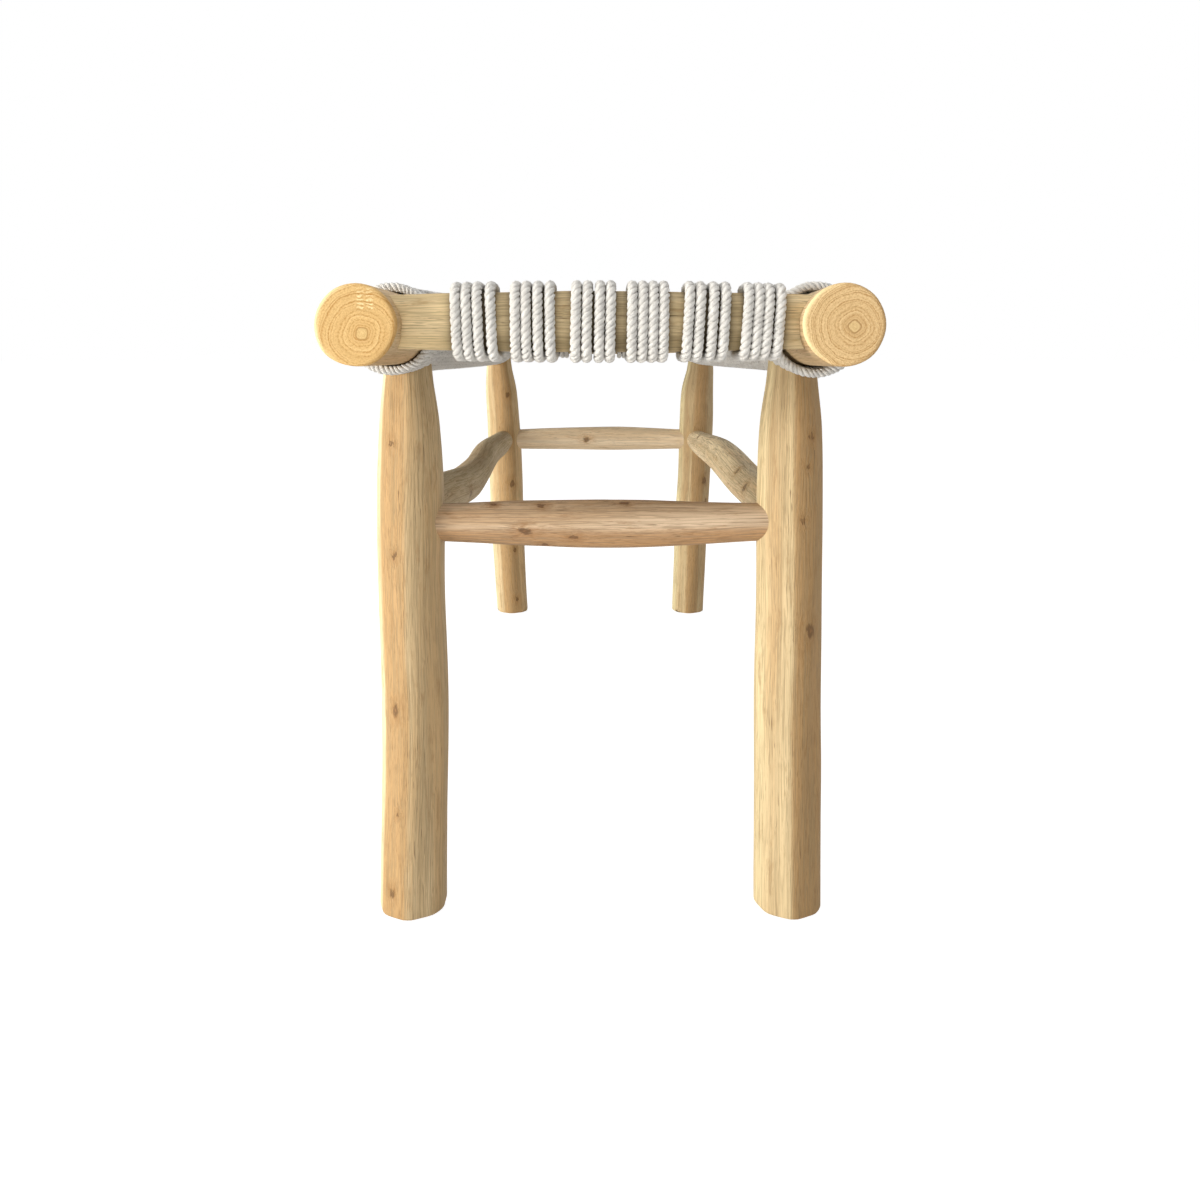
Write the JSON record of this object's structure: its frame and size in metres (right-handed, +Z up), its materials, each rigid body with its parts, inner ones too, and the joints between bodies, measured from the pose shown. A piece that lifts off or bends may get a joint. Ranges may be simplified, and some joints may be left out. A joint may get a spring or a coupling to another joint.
{
  "type": "rustic log bench",
  "caption": "Bench of peeled logs: round side rails, hewn end rails, splayed legs tied by stretchers, and a seat of rope woven between the rails.",
  "frame": {"origin": "on the floor, under the middle of the bench's bounding box", "axes": "+X to the right seen from the near end, +Y along the bench away from its near end, +Z up"},
  "size_m": [0.3731, 1, 0.4479],
  "materials": {
    "peeled_log": "clear satin",
    "hewn_rail": "clear satin",
    "stretcher_wood": "clear satin",
    "rope": "twisted cotton rope"
  },
  "bodies": {
    "root": {"side_rail_left": "peeled_log", "side_rail_right": "peeled_log", "end_rail_front": "hewn_rail", "end_rail_back": "hewn_rail", "leg_front_left": "peeled_log", "leg_front_right": "peeled_log", "leg_back_left": "peeled_log", "leg_back_right": "peeled_log", "stretcher_front": "stretcher_wood", "stretcher_back": "stretcher_wood", "stretcher_left": "stretcher_wood", "stretcher_right": "stretcher_wood", "winding_front_1": "rope", "winding_front_2": "rope", "winding_front_3": "rope", "winding_front_4": "rope", "winding_front_5": "rope", "winding_front_6": "rope", "winding_back_1": "rope", "winding_back_2": "rope", "winding_back_3": "rope", "winding_back_4": "rope", "winding_back_5": "rope", "winding_back_6": "rope", "side_wrap_left": "rope", "side_wrap_right": "rope", "woven_seat": "rope"}
  },
  "joints": []
}
